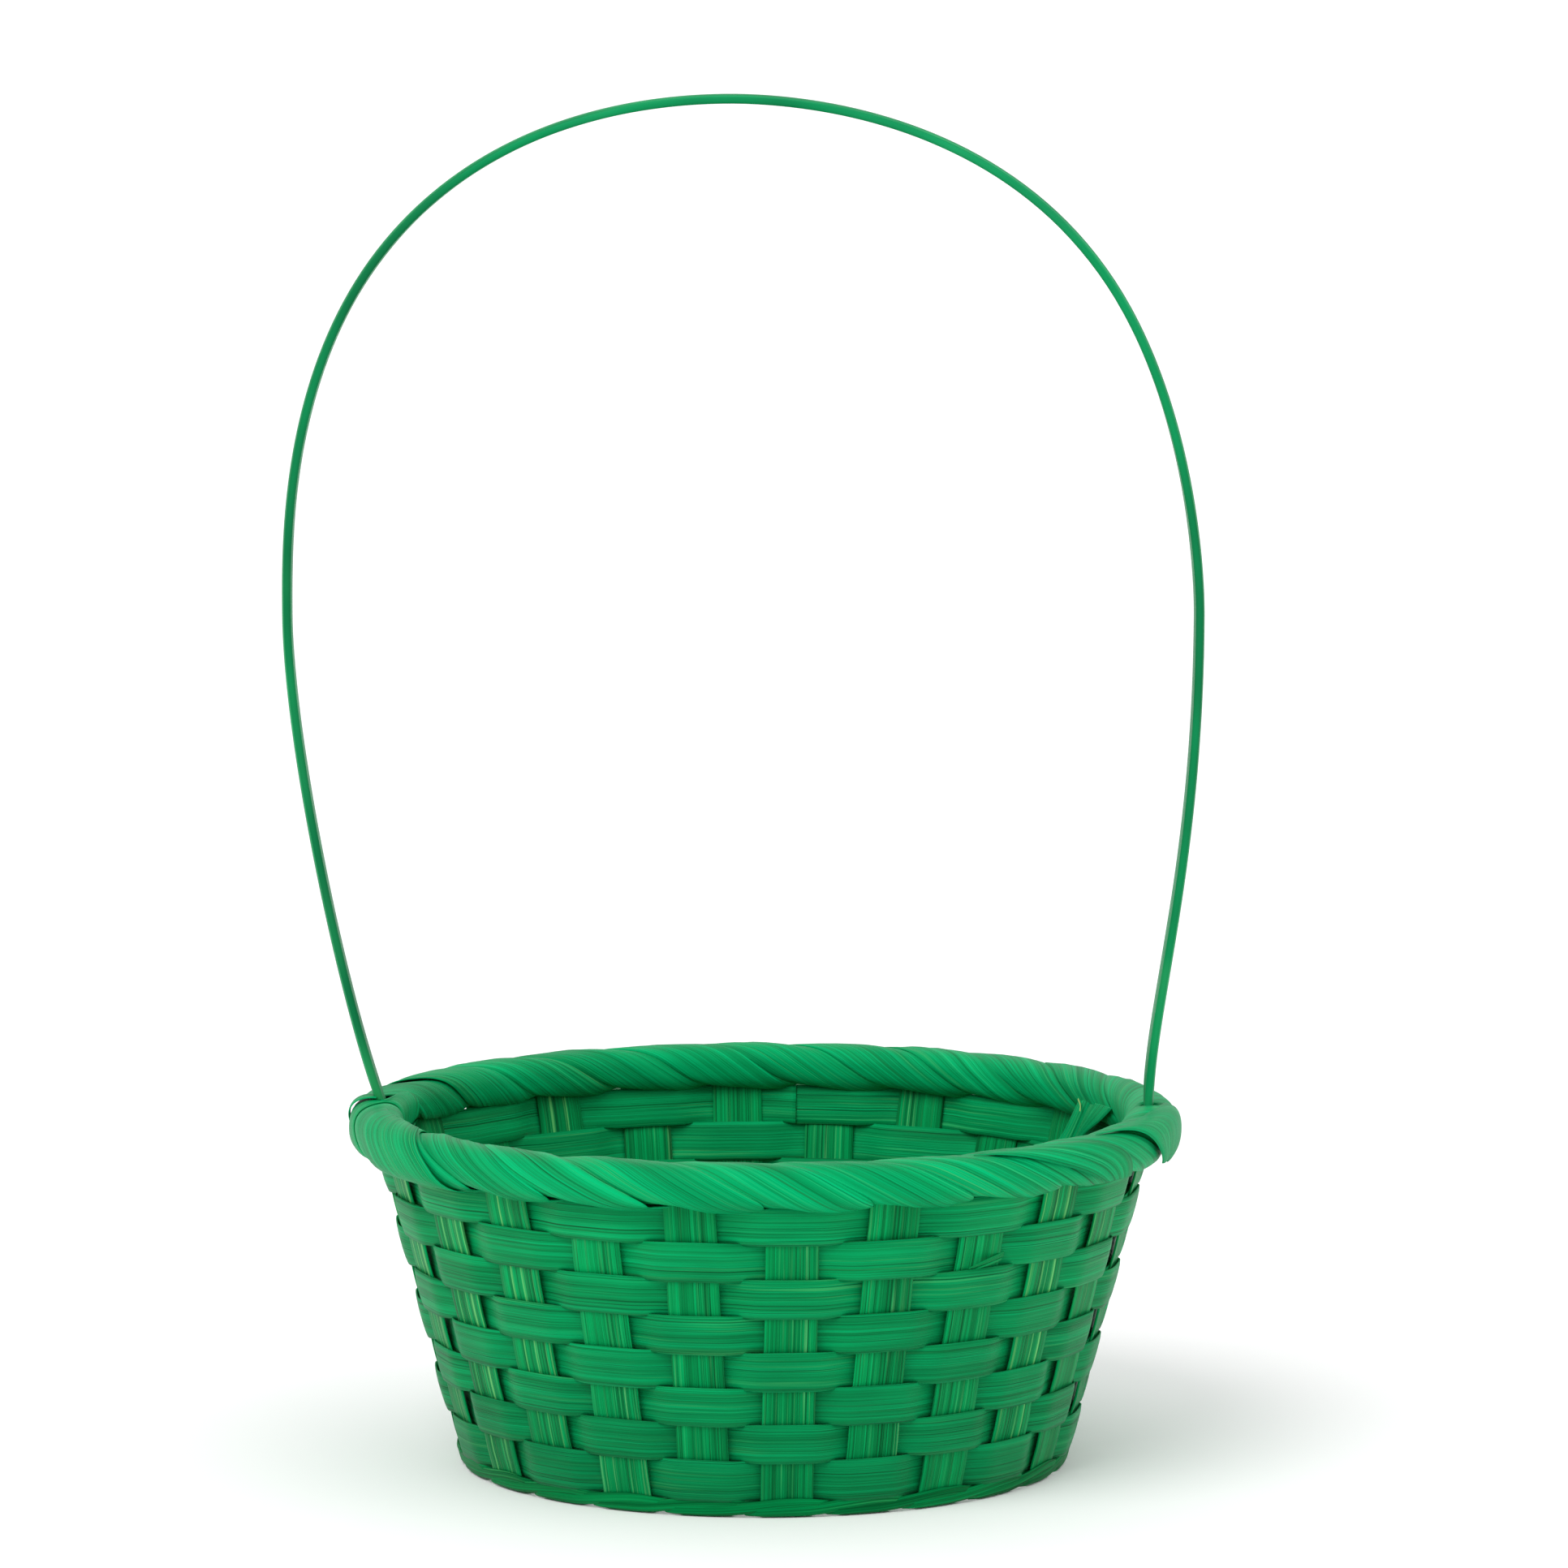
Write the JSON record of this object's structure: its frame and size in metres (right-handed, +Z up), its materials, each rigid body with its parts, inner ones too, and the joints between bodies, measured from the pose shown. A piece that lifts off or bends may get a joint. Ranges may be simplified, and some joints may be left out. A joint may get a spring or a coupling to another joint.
{
  "type": "round woven basket with fixed handle",
  "caption": "Round woven splint basket with flared wall, spirally wrapped rim and a tall fixed bow handle, for carrying light things by hand.",
  "frame": {"origin": "on the basket's axis, on the plane that it stands on", "axes": "+Z up, X through the two legs of the handle, Y across the handle"},
  "size_m": [0.2883, 0.2584, 0.4281],
  "materials": {
    "uprights": "green-dyed bamboo splint, satin, strong lengthwise grain",
    "weavers": "green-dyed bamboo splint, satin, fine lengthwise grain",
    "base_twine": "green-dyed split cane, satin",
    "rim_hoops": "green-dyed bamboo, satin",
    "rim_wrap": "green-dyed bamboo skin, satin to glossy",
    "handle": "green-dyed bamboo strip, satin skin, paler inner face"
  },
  "bodies": {
    "root": {"splint_x1": "uprights", "splint_x2": "uprights", "splint_x3": "uprights", "splint_x4": "uprights", "splint_x5": "uprights", "splint_x6": "uprights", "splint_y1": "uprights", "splint_y2": "uprights", "splint_y3": "uprights", "splint_y4": "uprights", "splint_y5": "uprights", "splint_y6": "uprights", "base_twine_a": "base_twine", "base_twine_b": "base_twine", "base_twine_c": "base_twine", "weaver_row_1": "weavers", "weaver_row_2": "weavers", "weaver_row_3": "weavers", "weaver_row_4": "weavers", "weaver_row_5": "weavers", "weaver_row_6": "weavers", "weaver_row_7": "weavers", "weaver_row_8": "weavers", "rim_inner_hoop": "rim_hoops", "rim_outer_hoop": "rim_hoops", "rim_wrap_front": "rim_wrap", "rim_wrap_back": "rim_wrap", "handle": "handle"}
  },
  "joints": []
}
